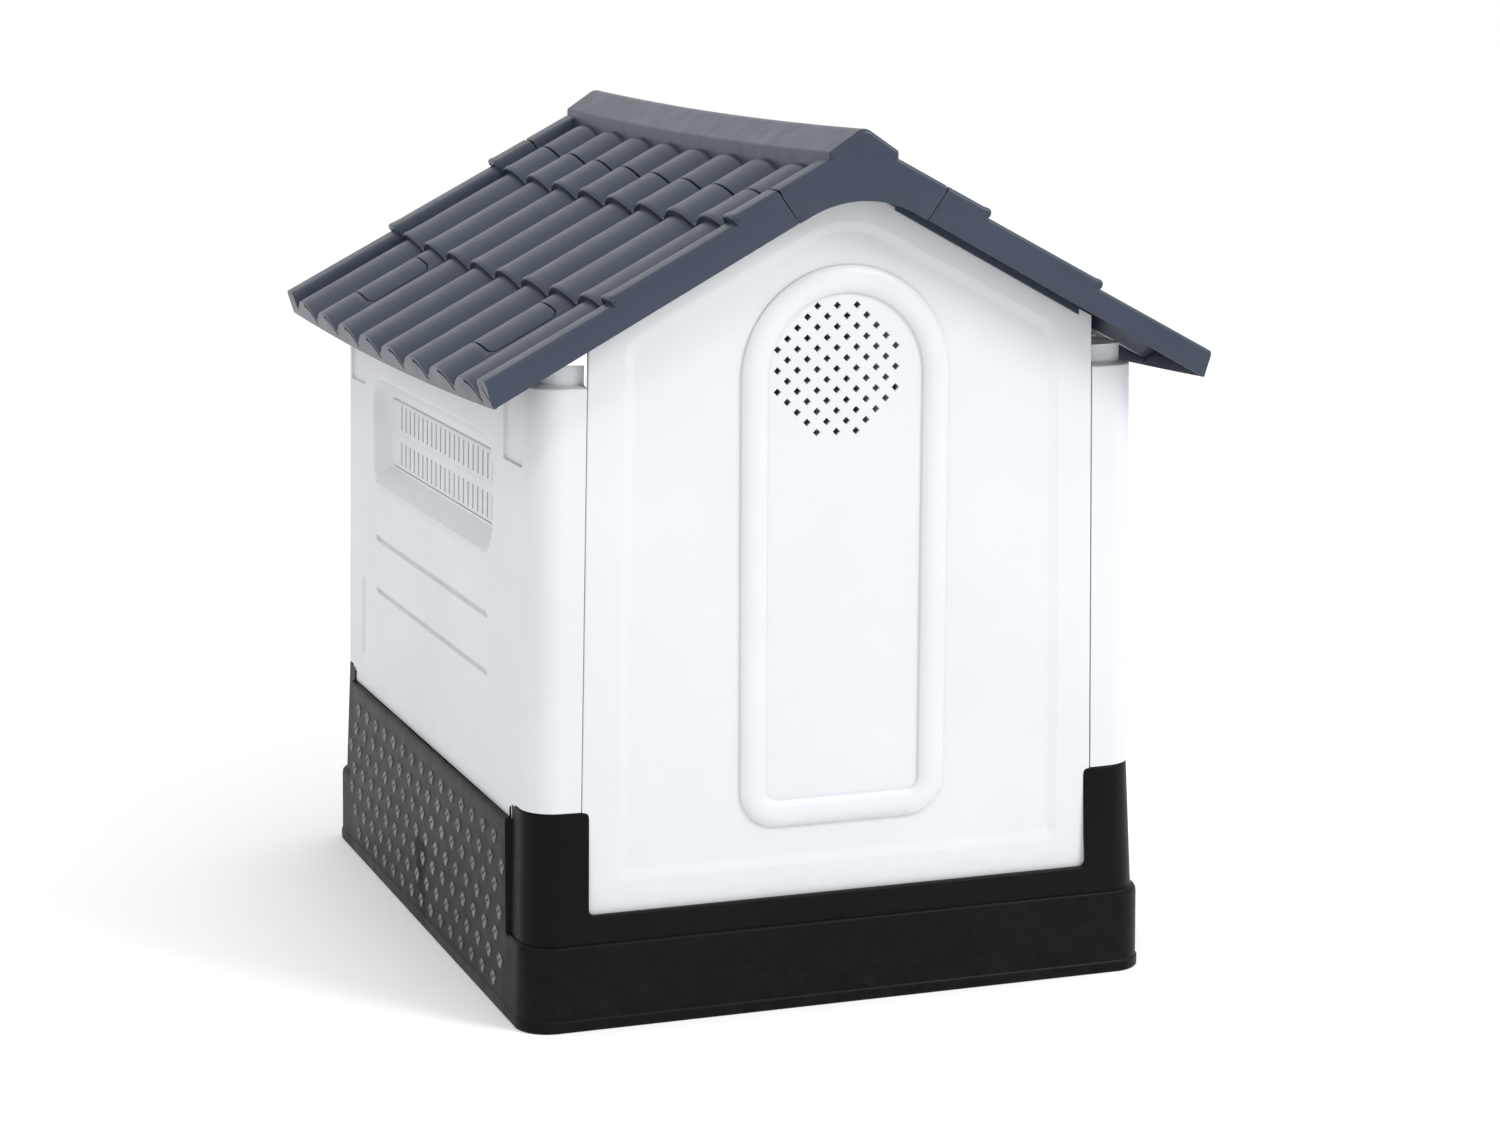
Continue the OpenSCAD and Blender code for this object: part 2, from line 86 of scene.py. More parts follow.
COS, SIN, TAN = math.cos(PITCH), math.sin(PITCH), math.tan(PITCH)
VALLEY_N = -TILE_RISE - 1
ROW_N = ROW_STEP * COS          # drop from one row to the next, square to the slope
TILE_PITCH = 2 * (HALF_L - BARGE_W) / TILES
TILE_W = TILE_PITCH - VALLEY_W
TILE_R = (TILE_W ** 2 / 4 + TILE_RISE ** 2) / (2 * TILE_RISE)
SEAM_S = SEAM_X / COS
LIP_1_S = STEP_1_X / COS
LIP_2_S = STEP_2_X / COS + ROW_STEP * SIN
EAVE_Z = APEX - 2 * ROW_STEP - HALF_W * TAN
FOOT_X, FOOT_Z = HALF_W - EAVE_LEAN, EAVE_Z - EAVE_DROP
SEAM_FOOT_X = SEAM_X - SEAM_DEPTH / 2
SEAM_FOOT_Z = APEX - SEAM_FOOT_X * TAN - SEAM_DEPTH

# Latches
LATCH_L, LATCH_W, LATCH_R = 61.0, 59.0, 8.0
LATCH_GAP = 1.5
LATCH_S = STEP_2_X / COS + 2 * ROW_STEP * SIN + 9 + LATCH_L / 2
LATCH_Y = TILE_PITCH * (TILES / 2 - 1.5)
LOWER_S = LATCH_S + LATCH_L / 2 + 5     # where the eave end of the last row starts

# Base
BASE_HALF_W, BASE_HALF_L, POST_H = reach("base_tray")
BASE_R = 26.0
BAND_H = 65.0
SIDE_RIM_H = POST_H - 12
NOTCH_Z = BAND_H + 21
FLOOR_Z = BAND_H - 13
BASE_SKIN = 3.2

# Walls
WALL_HALF = BASE_HALF_W - 8.2
END_FACE = BASE_HALF_L - 12
LEAN = math.radians(1.15)
CORNER_R = 24.0
SEAM_HALF = WALL_HALF - 40.3
POST_RUN = END_FACE - CORNER_R - 12
PLATE_DROP = (SKIN - VALLEY_N) / COS
SIDE_TOP = reach("right_wall")[2]
LEDGE_Z = SIDE_TOP - 17.5
GABLE_PEAK = reach("rear_wall")[2]
BORDER_UP = 2.0
FLAT_HALF = END_FACE - 77
POCKET_Z = LEDGE_Z - 60
NECK_IN = 8.0

WHITE, SLATE, BLACK = "white_plastic", "slate_plastic", "black_plastic"


# ---------------------------------------------------------------- materials

def node_tree(name, roughness, specular=0.5):
    material = bpy.data.materials.new(name)
    material.use_nodes = True
    tree = material.node_tree
    shader = tree.nodes["Principled BSDF"]
    shader.inputs["Roughness"].default_value = roughness
    shader.inputs["Specular IOR Level"].default_value = specular
    where = tree.nodes.new("ShaderNodeTexCoord")
    return material, tree, shader, where.outputs["Object"]


def noise(tree, where, scale, detail=3.0, stretch=None):
    if stretch:
        mapping = tree.nodes.new("ShaderNodeMapping")
        mapping.inputs["Scale"].default_value = stretch
        tree.links.new(where, mapping.inputs["Vector"])
        where = mapping.outputs["Vector"]
    texture = tree.nodes.new("ShaderNodeTexNoise")
    texture.inputs["Scale"].default_value = scale
    texture.inputs["Detail"].default_value = detail
    tree.links.new(where, texture.inputs["Vector"])
    return texture.outputs["Fac"]


def ramp(tree, value, stops):
    """Colour ramp with (place, colour) stops; a plain number is taken as a grey."""
    node = tree.nodes.new("ShaderNodeValToRGB")
    elements = node.color_ramp.elements
    while len(elements) < len(stops):
        elements.new(0.5)
    for element, (place, colour) in zip(elements, stops):
        element.position = place
        if isinstance(colour, (int, float)):
            colour = (colour, colour, colour)
        element.color = (*colour, 1)
    tree.links.new(value, node.inputs["Fac"])
    return node.outputs["Color"]


def mix(tree, share, low, high, kind="MIX"):
    node = tree.nodes.new("ShaderNodeMix")
    node.data_type = "RGBA"
    node.blend_type = kind
    for socket, value in zip((node.inputs[0], node.inputs[6], node.inputs[7]), (share, low, high)):
        if isinstance(value, bpy.types.NodeSocket):
            tree.links.new(value, socket)
        elif isinstance(value, (int, float)):
            socket.default_value = value
        else:
            socket.default_value = (*value, 1)
    return node.outputs[2]


def add_bump(tree, shader, layers):
    """Chains bump nodes; each layer is (height, strength, distance in millimetres)."""
    previous = None
    for height, strength, distance in layers:
        bump = tree.nodes.new("ShaderNodeBump")
        bump.inputs["Strength"].default_value = strength
        bump.inputs["Distance"].default_value = distance * MM
        tree.links.new(height, bump.inputs["Height"])
        if previous:
            tree.links.new(previous, bump.inputs["Normal"])
        previous = bump.outputs["Normal"]
    tree.links.new(previous, shader.inputs["Normal"])


def height_fade(tree, where, low, high):
    """1 at height low, 0 at height high, both in metres."""
    split = tree.nodes.new("ShaderNodeSeparateXYZ")
    tree.links.new(where, split.inputs[0])
    fade = tree.nodes.new("ShaderNodeMapRange")
    fade.inputs["From Min"].default_value = low
    fade.inputs["From Max"].default_value = high
    fade.inputs["To Min"].default_value = 1
    fade.inputs["To Max"].default_value = 0
    tree.links.new(split.outputs["Z"], fade.inputs["Value"])
    return fade.outputs["Result"]


def plastic(name, pale, deep, scuff, roughness, grain_mm, grain_strength, dust=None, specular=0.5):
    """Moulded plastic: cloudy colour, fine spark grain, rubbed scuffs and dust near the ground."""
    material, tree, shader, where = node_tree(name, roughness, specular)
    cloud = noise(tree, where, 7, 4)
    colour = ramp(tree, cloud, [(0.32, deep), (0.68, pale)])
    flow = noise(tree, where, 22, 5, (1, 1, 0.6))
    colour = mix(tree, ramp(tree, flow, [(0.45, 0.0), (0.8, 0.15)]), colour, pale)
    rub = noise(tree, where, 260, 6, (0.7, 1, 0.8))
    colour = mix(tree, ramp(tree, rub, [(0.70, 0.0), (0.85, 0.22)]), colour, scuff)
    if dust:
        speck = ramp(tree, noise(tree, where, 90, 6), [(0.4, 0.1), (0.75, 0.7)])
        low = mix(tree, height_fade(tree, where, 0, 0.12), (0, 0, 0), speck)
        colour = mix(tree, low, colour, dust)
    tree.links.new(colour, shader.inputs["Base Color"])
    gloss = ramp(tree, noise(tree, where, 55, 5), [(0.3, roughness - 0.03), (0.7, roughness + 0.04)])
    tree.links.new(gloss, shader.inputs["Roughness"])
    add_bump(tree, shader, [
        (noise(tree, where, 14, 2), 0.12, 0.8),
        (noise(tree, where, 1 / (grain_mm * MM), 2), grain_strength, 0.08),
    ])
    return material


def make_materials():
    return {
        WHITE: plastic("white_moulding", (0.565, 0.582, 0.602), (0.535, 0.553, 0.578), (0.49, 0.495, 0.50),
                       0.40, 0.9, 0.22, (0.44, 0.425, 0.40)),
        SLATE: plastic("slate_moulding", (0.025, 0.036, 0.058), (0.020, 0.030, 0.049),
                       (0.045, 0.057, 0.080), 0.37, 0.8, 0.16, specular=0.34),
        BLACK: plastic("black_moulding", (0.0042, 0.0042, 0.0044), (0.0028, 0.0028, 0.0030),
                       (0.010, 0.010, 0.010), 0.42, 1.1, 0.5, (0.010, 0.0096, 0.009), specular=0.07),
        "paw": plastic("paw_relief", (0.20, 0.196, 0.19), (0.10, 0.098, 0.094),
                       (0.24, 0.24, 0.235), 0.55, 1.2, 0.4, specular=0.3),
    }


# ---------------------------------------------------------------- outlines

def fillet(points, radii, step=9.0):
    """Closed outline through points with a round at each corner; step is the arc's turn in degrees."""
    points = [np.array(p, float) for p in points]
    if isinstance(radii, (int, float)):
        radii = [radii] * len(points)
    made = []
    for i, corner in enumerate(points):
        before = points[i - 1] - corner
        after = points[(i + 1) % len(points)] - corner
        before, after = before / np.linalg.norm(before), after / np.linalg.norm(after)
        half = math.acos(float(np.clip(before @ after, -1, 1))) / 2
        if radii[i] < 0.01 or half > 1.55:
            made.append(corner)
            continue
        middle = corner + (before + after) / np.linalg.norm(before + after) * (radii[i] / math.sin(half))
        start = corner + before * radii[i] / math.tan(half) - middle
        stop = corner + after * radii[i] / math.tan(half) - middle
        a0 = math.atan2(start[1], start[0])
        turn = (math.atan2(stop[1], stop[0]) - a0 + math.pi) % (2 * math.pi) - math.pi
        count = max(2, round(abs(math.degrees(turn)) / step))
        for k in range(count + 1):
            a = a0 + turn * k / count
            made.append(middle + radii[i] * np.array([math.cos(a), math.sin(a)]))
    return [tuple(p) for p in made]


def grown(points, by):
    """Corners of a convex outline, listed anticlockwise, moved outward by a distance."""
    points = [np.array(p, float) for p in points]
    made = []
    for i, corner in enumerate(points):
        first = corner - points[i - 1]
        second = points[(i + 1) % len(points)] - corner
        n1 = np.array([first[1], -first[0]]) / np.linalg.norm(first)
        n2 = np.array([second[1], -second[0]]) / np.linalg.norm(second)
        made.append(corner + by * (n1 + n2) / (1 + n1 @ n2))
    return made


def convex(points, radii, step=9.0):
    """A function from a distance to the outline moved outward by it, with its rounds kept concentric."""
    if isinstance(radii, (int, float)):
        radii = [radii] * len(points)

    def outline(by=0.0):
        return fillet(grown(points, by), [max(r + by, 0) for r in radii], step)
    return outline


def rectangle(x0, y0, x1, y1, radius, step=9.0):
    return convex([(x0, y0), (x1, y0), (x1, y1), (x0, y1)], radius, step)


def arch(half, low, top, radius, step=5.0):
    """Upright outline with a half-round crown and round lower corners."""
    return convex([(-half, low), (half, low), (half, top), (-half, top)],
                  [radius, radius, half - 0.01, half - 0.01], step)


def thick_line(path, half):
    """A function from a distance to the outline of a round-ended stroke along a path."""
    path = [np.array(p, float) for p in path]

    def outline(by=0.0):
        r = half + by
        sides, back = [], []
        for i, p in enumerate(path):
            along = path[min(i + 1, len(path) - 1)] - path[max(i - 1, 0)]
            along /= np.linalg.norm(along)
            across = np.array([-along[1], along[0]])
            sides.append(tuple(p - across * r))
            back.append(tuple(p + across * r))
        caps = []
        for p, q in ((path[-1], path[-2]), (path[0], path[1])):
            a0 = math.atan2(*(p - q)[::-1])
            caps.append([tuple(p + r * np.array([math.cos(a0 + a), math.sin(a0 + a)]))
                         for a in np.radians([-54, -18, 18, 54])])
        return sides + caps[0] + back[::-1] + caps[1]
    return outline


def inside(loop, points):
    """Whether each point lies within a closed outline."""
    loop, points = np.array(loop), np.array(points)
    x, y = points[:, 0, None], points[:, 1, None]
    x1, y1 = loop[:, 0], loop[:, 1]
    x2, y2 = np.roll(x1, -1), np.roll(y1, -1)
    crosses = (y1 > y) != (y2 > y)
    with np.errstate(divide="ignore", invalid="ignore"):
        at = x1 + (y - y1) / (y2 - y1) * (x2 - x1)
    return (crosses & (x < at)).sum(1) % 2 == 1


def distance(loop, points):
    """Signed distance to a closed outline, negative inside."""
    loop, points = np.array(loop), np.array(points)
    nearest = np.full(len(points), 1e9)
    for a, b in zip(loop, np.roll(loop, -1, 0)):
        along = b - a
        share = np.clip(((points - a) @ along) / max(along @ along, 1e-12), 0, 1)
        nearest = np.minimum(nearest, np.linalg.norm(points - a - share[:, None] * along, axis=1))
    return np.where(inside(loop, points), -nearest, nearest)


def fill(outline, holes=(), loops=(), lines=()):
    """Triangles of an outline less its holes, with loops and open lines kept as edges."""
    points, edges = [], []
    for loop in [outline, *holes, *loops]:
        first = len(points)
        points += [Vector(p) for p in loop]
        edges += [(first + i, first + (i + 1) % len(loop)) for i in range(len(loop))]
    for line in lines:
        first = len(points)
        points += [Vector(p) for p in line]
        edges += [(first + i, first + i + 1) for i in range(len(line) - 1)]
    found, _, triangles, *_ = geometry.delaunay_2d_cdt(points, edges, [], 0, 1e-3)
    found = np.array([tuple(p) for p in found])
    triangles = np.array([t for t in triangles if len(t) == 3])
    middles = found[triangles].mean(1)
    keep = inside(outline, middles)
    for hole in holes:
        keep &= ~inside(hole, middles)
    triangles = triangles[keep]
    used, flat = np.unique(triangles, return_inverse=True)
    return found[used], flat.reshape(-1, 3)


class Relief:
    """A flat drawing with raised and sunk features, later laid on a surface."""

    def __init__(self, outline, holes=(), lines=()):
        self.outline, self.holes = outline, list(holes)
        self.loops, self.lines, self.rules = [], list(lines), []

    def feature(self, outline, profile):
        """Adds (distance, height) steps across the edge of an outline."""
        base = outline(0.0)
        self.loops += [outline(by) for by, _ in profile]
        gaps, heights = zip(*profile)
        self.rules.append(lambda p: np.interp(distance(base, p), gaps, heights))

    def rule(self, function, lines=(), loops=()):
        self.rules.append(function)
        self.lines += list(lines)
        self.loops += list(loops)

    def build(self):
        points, triangles = fill(self.outline, self.holes, self.loops, self.lines)
        heights = sum((r(points) for r in self.rules), np.zeros(len(points)))
        return points, heights, triangles


# ---------------------------------------------------------------- meshes

class Shape:
    """Points in millimetres and the faces between them, gathered from several parts."""

    def __init__(self):
        self.points, self.faces = [], []

    def add(self, points, faces):
        first = len(self.points)
        self.points += [tuple(map(float, p)) for p in points]
        self.faces += [tuple(int(i) + first for i in face) for face in faces]

    def grid(self, rows, closed=False):
        """Quads between rows of points; closed joins the last point of a row to its first."""
        rows = np.array(rows, float)
        n, m = rows.shape[:2]
        last = m if closed else m - 1
        self.add(rows.reshape(-1, 3), [(i * m + j, i * m + (j + 1) % m, (i + 1) * m + (j + 1) % m, (i + 1) * m + j)
                                       for i in range(n - 1) for j in range(last)])

    def polygon(self, chain, drop):
        """Triangles across a flat closed chain of points, leaving out coordinate drop while filling."""
        chain = np.array(chain, float)
        keep = [k for k in range(3) if k != drop]
        flat = [Vector((p[keep[0]], p[keep[1]], 0)) for p in chain]
        self.add(chain, geometry.tessellate_polygon([flat]))

    def slab(self, relief, place, thickness):
        """A closed skin: the relief in front, the same shape set back by thickness, and the edges between."""
        points, heights, triangles = relief.build()
        front = place(points[:, 0], points[:, 1], heights)
        back = place(points[:, 0], points[:, 1], heights - thickness)
        count = len(points)
        edges = {}
        for a, b, c in triangles:
            for edge in ((a, b), (b, c), (c, a)):
                edges[edge] = True
        rim = [(a, b, b + count, a + count) for a, b in edges if (b, a) not in edges]
        faces = [tuple(t) for t in triangles] + [(c + count, b + count, a + count) for a, b, c in triangles]
        self.add(np.vstack([front, back]), faces + rim)

    def loft(self, rings):
        """A closed solid through rings of points, with flat ends."""
        self.grid(rings, closed=True)
        for ring, flip in ((rings[0], -1), (rings[-1], 1)):
            self.add(ring, [tuple(range(len(ring)))[::flip]])

    def mirrored(self, axis):
        copy = Shape()
        sign = [-1 if k == axis else 1 for k in range(3)]
        copy.add(np.array(self.points) * sign, [f[::-1] for f in self.faces])
        return copy


def piece(name, shape, body, slot, replaces=(), thickness=0.0, sharp=30, material=None, weld=0.01):
    """Makes a shape into a named object that rides on a body; thickness turns an open sheet into a skin."""
    bm = bmesh.new()
    vertices = [bm.verts.new(Vector(p) * MM) for p in shape.points]
    for face in shape.faces:
        if len(set(face)) == len(face):
            try:
                bm.faces.new([vertices[i] for i in face])
            except ValueError:
                pass
    bmesh.ops.remove_doubles(bm, verts=bm.verts, dist=weld * MM)
    bmesh.ops.dissolve_degenerate(bm, edges=bm.edges, dist=0.002 * MM)
    loose = [v for v in bm.verts if not v.link_faces]
    bmesh.ops.delete(bm, geom=loose, context="VERTS")
    bmesh.ops.recalc_face_normals(bm, faces=bm.faces)
    if thickness:
        middle = Vector((0, 0, 0.3))
        outward = sum((f.calc_center_median() - middle).dot(f.normal) * f.calc_area() for f in bm.faces)
        if outward < 0:
            bmesh.ops.reverse_faces(bm, faces=bm.faces)
    mesh = bpy.data.meshes.new(name)
    bm.to_mesh(mesh)
    bm.free()
    obj = bpy.data.objects.new(name, mesh)
    bpy.context.scene.collection.objects.link(obj)
    mesh.shade_smooth()
    mesh.set_sharp_from_angle(angle=math.radians(sharp))
    if thickness:
        solid = obj.modifiers.new("skin", "SOLIDIFY")
        solid.thickness = thickness * MM
        solid.offset = -1
    weighted = obj.modifiers.new("shade", "WEIGHTED_NORMAL")
    weighted.keep_sharp = True
    mesh.materials.append(MATERIALS[material or slot])
    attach(obj, body)
    if replaces:
        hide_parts(*replaces)
    return obj


# ---------------------------------------------------------------- roof

def sag(x, y):
    """How far the roof has dropped: most at mid-length and along the eaves."""
    share = np.clip(np.abs(x) / HALF_W, 0, 1)
    return (SAG_RIDGE + (SAG_EAVE - SAG_RIDGE) * share) * (1 - (y / HALF_L) ** 2)


def drooped(points):
    points = np.array(points, float)
    points[..., 2] -= sag(points[..., 0], points[..., 1])
    return points


def on_slope(s, n, y):
    """Point on the right slope: s down it from the apex, n square to it, y along the ridge."""
    s, n, y = np.broadcast_arrays(*(np.asarray(v, float) for v in (s, n, y)))
    return drooped(np.stack([s * COS + n * SIN, y, APEX - s * SIN + n * COS], -1))


def tile_y(i):
    return (i - (TILES - 1) / 2) * TILE_PITCH


# Height across a gable board, by distance from its outer face: round edge, slight crown, soft inner edge
BOARD_D = [0, 0.3, 0.9, 1.9, 3.2, 6, 10, 16, 20, 22.3, 24, 25.2, BARGE_W]
BOARD_N = [-2.3, -1.2, -0.3, 0.3, 0.7, 1.0, 1.1, 1.1, 0.9, 0.4, -0.6, -3.0, VALLEY_N]


def columns():
    """Places along the ridge at which the roof's section is drawn."""
    found = [side * (HALF_L - d) for side in (-1, 1) for d in BOARD_D]
    arc_half = math.asin(TILE_W / 2 / TILE_R)
    for i in range(TILES):
        found += [tile_y(i) + TILE_R * math.sin(a) for a in np.linspace(-arc_half, arc_half, 19)]
    return np.unique(np.round(found, 4))


def section(y):
    """Height of the tiles and gable boards across the roof."""
    y = np.asarray(y, float)
    index = np.clip(np.round(y / TILE_PITCH + (TILES - 1) / 2), 0, TILES - 1)
    off = np.minimum(np.abs(y - tile_y(index)), TILE_W / 2)
    tiles = VALLEY_N + TILE_RISE - TILE_R + np.sqrt(TILE_R ** 2 - off ** 2)
    board = np.interp(HALF_L - np.abs(y), BOARD_D, BOARD_N)
    return np.where(np.abs(y) > HALF_L - BARGE_W - 0.001, board, tiles)


Y = columns()
N = section(Y)

# A row's lower end: (distance before the end, height), from the flat over the lip to its undercut face
LIP = [(12, 0), (7, 0.1), (4, 0.45), (2.4, 0.65), (1.1, 0.4), (0.3, -0.3), (0, -1.3), (0.3, -2.4), (1.6, -ROW_N)]
# A row's upper end at the seam: (distance after the start, height)
SEAM = [(0, -2.2), (0.1, -1.2), (0.5, -0.4), (1.3, 0)]


def fascia_end(n):
    """Distance down the slope at which a surface at height n meets the leaning fascia."""
    lean = EAVE_LEAN / EAVE_DROP
    return (FOOT_X + (APEX + n * COS - FOOT_Z) * lean - n * SIN) / (COS + SIN * lean)


def on_fascia(y, q):
    """Point on the fascia, q up from its foot."""
    length = math.hypot(EAVE_LEAN, EAVE_DROP)
    y, q = np.broadcast_arrays(np.asarray(y, float), np.asarray(q, float))
    return drooped(np.stack([FOOT_X + q * EAVE_LEAN / length, y, FOOT_Z + q * EAVE_DROP / length], -1))


def fascia_rise(n):
    """Height q at which a surface at height n meets the fascia."""
    s = fascia_end(n)
    return (APEX - s * SIN + n * COS - FOOT_Z) * math.hypot(EAVE_LEAN, EAVE_DROP) / EAVE_DROP


def latch_outline(side, inset):
    return rectangle(side * LATCH_Y - LATCH_W / 2 + inset, LATCH_S - LATCH_L / 2 + inset,
                     side * LATCH_Y + LATCH_W / 2 - inset, LATCH_S + LATCH_L / 2 - inset, LATCH_R - inset)


def lower_row_surface(y, s, h=0.0):
    return on_slope(s, section(y) - 2 * ROW_N + h, y)


def eave_face():
    """The fascia, with a slanting shadow groove under the rear half of each tile end."""
    top = [(y, q) for y, q in zip(Y, fascia_rise(N - 2 * ROW_N) - 1.0)]
    bottom = [(y, 0.0) for y in Y]
    relief = Relief(bottom + top[::-1])
    rise = fascia_rise(section(tile_y(0)) - 2 * ROW_N)
    for i in range(TILES):
        offs = np.linspace(2, TILE_W / 2 + 3, 7)
        path = [(tile_y(i) + d, fascia_rise(section(min(tile_y(i) + d, tile_y(i) + TILE_W / 2)) - 2 * ROW_N) - 3.3)
                for d in offs]
        relief.feature(thick_line(path, 1.1), [(-0.7, -2.6), (0.1, 0)])
    hook = [(HALF_L - 14 + k * 2.9, rise - 3.3 - k * 2.8) for k in range(4)]
    relief.feature(thick_line(hook, 1.0), [(-0.6, -2.0), (0.1, 0)])
    points, heights, triangles = relief.build()
    made = on_fascia(points[:, 0], points[:, 1])
    out = np.array([math.cos(math.atan2(EAVE_LEAN, EAVE_DROP)), 0, -math.sin(math.atan2(EAVE_LEAN, EAVE_DROP))])
    return made + heights[:, None] * out, triangles


def gable_board_low(s0, s1):
    """Foot of the gable board, from the seam to the eave."""
    return [(SEAM_FOOT_X, HALF_L, SEAM_FOOT_Z), (FOOT_X, HALF_L, FOOT_Z)]


def roof_panel():
    """The right roof panel as one open sheet."""
    shape = Shape()
    rows = [(SEAM_S + SEAM_GAP + d, h) for d, h in SEAM]
    rows += [(LIP_1_S - d, h) for d, h in LIP]
    rows += [(s, -ROW_N) for s in np.linspace(LIP_1_S + 6, LIP_2_S - 24, 5)]
    rows += [(LIP_2_S - d, h - ROW_N) for d, h in LIP]
    rows += [(LIP_2_S + 2, -2 * ROW_N)]
    grid = [on_slope(s, N + h, Y) for s, h in rows]
    shape.grid(grid)

    start = rows[-1][0]
    lines = [[(y, start), (y, LOWER_S)] for y in Y]
    lines += [[(Y[0], s), (Y[-1], s)] for s in np.linspace(start, LOWER_S, 7)[1:-1]]
    outline = [(y, start) for y in Y] + [(y, LOWER_S) for y in Y[::-1]]
    holes = [latch_outline(side, 0)(0) for side in (-1, 1)]
    points, triangles = fill(outline, holes, (), lines)
    shape.add(lower_row_surface(points[:, 0], points[:, 1]), triangles)

    low = N - 2 * ROW_N
    end = fascia_end(low)
    tail = [lower_row_surface(Y, np.full(len(Y), LOWER_S))]
    tail += [on_slope(LOWER_S + (end - LOWER_S) * t, low, Y) for t in (0.35, 0.7, 0.95)]
    tail += [on_slope(end - 0.35, low - 0.12, Y)]
    tail += [on_fascia(Y, fascia_rise(low) - 1.0)]
    shape.grid(tail)
    shape.add(*eave_face())

    top = [row[-1] for row in grid]
    steps = np.linspace(start, LOWER_S, 7)[1:-1]
    top += [tuple(lower_row_surface(HALF_L, s)) for s in steps]
    top += [row[-1] for row in tail]
    chain = top + [tuple(on_fascia(HALF_L, 0))] + [(SEAM_FOOT_X + SEAM_GAP, HALF_L, SEAM_FOOT_Z)]
    for side in (1, -1):
        shape.polygon([(x, side * y, z) for x, y, z in chain], 1)
    return shape


def skirts():
    """Thin ribs inside the gable boards, which hang just below them."""
    shape = Shape()
    run = FOOT_X - SEAM_FOOT_X
    for side in (-1, 1):
        rings = []
        for x in np.linspace(*SKIRT_X, 9):
            high = APEX - x * TAN - PLATE_DROP - 1.5
            low = SEAM_FOOT_Z - (x - SEAM_FOOT_X) * (SEAM_FOOT_Z - FOOT_Z) / run - SKIRT_IN
            y = HALF_L - BARGE_W
            rings.append([(x, side * (y + d), z) for d, z in
                          ((0, low), (SKIN, low), (SKIN, high), (0, high))])
        shape.loft(drooped(rings))
    return shape


def ridge_flange():
    """The panel's flange under the ridge cap."""
    shape = Shape()
    half = HALF_L - SKIN - 1.5
    n = VALLEY_N - SKIN - 1
    section_points = ((24, n), (SEAM_S + 8, n), (SEAM_S + 8, n - SKIN), (24, n - SKIN))
    shape.loft([[tuple(on_slope(s, m, y)) for s, m in section_points] for y in np.linspace(-half, half, 17)])
    return shape


def cap_profile(inset):
    """Section of the raised box along the ridge, from its right foot over the crown."""
    foot = APEX - CAP_HALF * TAN - PLATE_DROP - 6
    corners = [(CAP_HALF, foot), (CAP_HALF, TOP - 17), (0, TOP + 1.2), (-CAP_HALF, TOP - 17), (-CAP_HALF, foot)]
    shoulder = max(2.6 - inset, 0.6)
    return fillet(grown(corners, -inset), [0, shoulder, 9, shoulder, 0], 12)


def ridge_cap():
    shape = Shape()
    head = CAP_HALF / COS
    rows = [(head - 3, -TILE_RISE), (head, -6.5), (head + 0.8, -4.4), (head + 2, -2.9), (head + 3.8, -1.5),
            (head + 6, -0.6), (head + 9, 0)]
    rows += [(s, 0) for s in np.linspace(head + 14, SEAM_S - 8, 3)]
    rows += [(SEAM_S - SEAM_GAP - d, h) for d, h in SEAM[::-1]]
    board = np.abs(Y) > HALF_L - BARGE_W + 1
    grid = [on_slope(s, np.where(board, N + (h if s > SEAM_S - 8 else 0), np.maximum(N + h, VALLEY_N)), Y)
            for s, h in rows]
    shape.grid(grid)
    shape.grid([[(-x, y, z) for x, y, z in row] for row in grid])

    turn = np.radians(np.linspace(0, 90, 6))
    edge = 3.2
    ends = [(HALF_L - edge + edge * math.sin(a), edge * (1 - math.cos(a))) for a in turn]
    stations = [(-y, inset) for y, inset in ends[::-1]]
    stations += [(y, 0.0) for y in np.linspace(-HALF_L + edge, HALF_L - edge, 25)[1:-1]]
    stations += ends
    loops = [[(x, y, z) for x, z in cap_profile(inset)] for y, inset in stations]
    shape.grid(drooped(loops))

    side = [row[-1] for row in grid]
    arch_top = SEAM_FOOT_Z + ARCH_RISE
    reach_a = PITCH * 0.98
    crown = [(ARCH_R * math.sin(a), HALF_L, arch_top - ARCH_R * (1 - math.cos(a)))
             for a in np.linspace(-reach_a, reach_a, 25)]
    foot = (SEAM_FOOT_X - SEAM_GAP, HALF_L, SEAM_FOOT_Z)
    box = [(x, HALF_L, z) for x, z in cap_profile(edge)]
    box = [p for p in box if p[2] > side[0][2] + 0.5]
    right = [foot] + side[::-1]
    left = [(-x, y, z) for x, y, z in right[::-1]]
    chain = [tuple(p) for p in right] + box + [tuple(p) for p in left] + crown
    for face in (1, -1):
        shape.polygon([(x, face * y, z) for x, y, z in chain], 1)
    return shape


